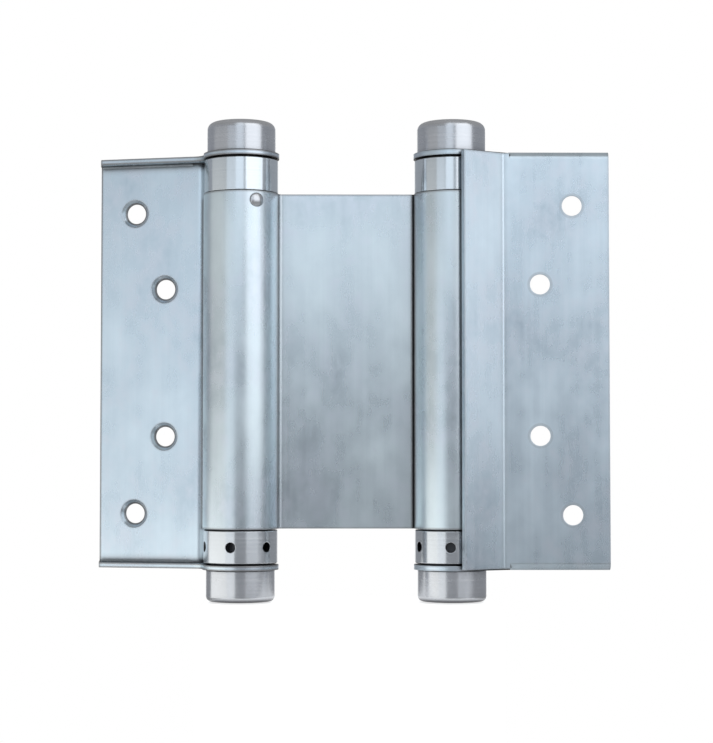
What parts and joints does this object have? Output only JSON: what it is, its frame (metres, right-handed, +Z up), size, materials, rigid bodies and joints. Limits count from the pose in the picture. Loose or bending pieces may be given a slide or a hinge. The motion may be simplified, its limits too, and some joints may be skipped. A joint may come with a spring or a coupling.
{
  "type": "double action spring hinge",
  "caption": "Double action cafe door hinge: folded leaves on sprung barrels joined by a centre web, with screw holes, end caps and adjusting collars.",
  "frame": {"origin": "on the mounting face of the jamb leaf, amid its four screw holes", "axes": "+Z up along the barrels, +X from the web towards the jamb leaf's free edge, -Y out of the jamb leaf's mounting face"},
  "size_m": [0.1545, 0.0321, 0.1448],
  "materials": {
    "sheet_steel": "bright zinc plate over brushed sheet",
    "turned_steel": "bright zinc plate over fine turning",
    "spring_steel": "oil tempered wire",
    "washer": "black nylon"
  },
  "bodies": {
    "jamb_leaf_body": {"jamb_leaf": "sheet_steel", "jamb_spindle": "turned_steel", "jamb_top_cap": "turned_steel", "jamb_bottom_cap": "turned_steel", "jamb_top_washer": "washer", "jamb_bottom_washer": "washer"},
    "centre_body": {"centre_web": "sheet_steel", "jamb_top_plug": "turned_steel", "jamb_plug_rivet": "turned_steel", "jamb_spring": "spring_steel", "door_top_plug": "turned_steel", "door_plug_rivet": "turned_steel", "door_spring": "spring_steel"},
    "door_leaf_body": {"door_leaf": "sheet_steel", "door_spindle": "turned_steel", "door_top_cap": "turned_steel", "door_bottom_cap": "turned_steel", "door_top_washer": "washer", "door_bottom_washer": "washer"},
    "jamb_collar_body": {"jamb_adjusting_collar": "turned_steel"},
    "door_collar_body": {"door_adjusting_collar": "turned_steel"}
  },
  "joints": [
    {"name": "jamb_swing", "type": "hinge", "parent": "jamb_leaf_body", "child": "centre_body", "pos_m": [-0.0309, 0.0066, 0], "axis": [0, 0, -1], "range_deg": [-95, 180], "stiffness_Nm_per_rad": 0.47, "deforming": ["jamb_spring"]},
    {"name": "door_swing", "type": "hinge", "parent": "centre_body", "child": "door_leaf_body", "pos_m": [-0.0943, 0.0066, 0], "axis": [0, 0, 1], "range_deg": [-81, 194], "stiffness_Nm_per_rad": 0.47, "deforming": ["door_spring"]},
    {"name": "jamb_collar_turn", "type": "hinge", "parent": "jamb_leaf_body", "child": "jamb_collar_body", "pos_m": [-0.0309, 0.0066, 0], "axis": [0, 0, -1], "range_deg": [0, 240], "deforming": ["jamb_spring"]},
    {"name": "door_collar_turn", "type": "hinge", "parent": "door_leaf_body", "child": "door_collar_body", "pos_m": [-0.0943, 0.0066, 0], "axis": [0, 0, -1], "range_deg": [0, 240], "deforming": ["door_spring"]}
  ]
}
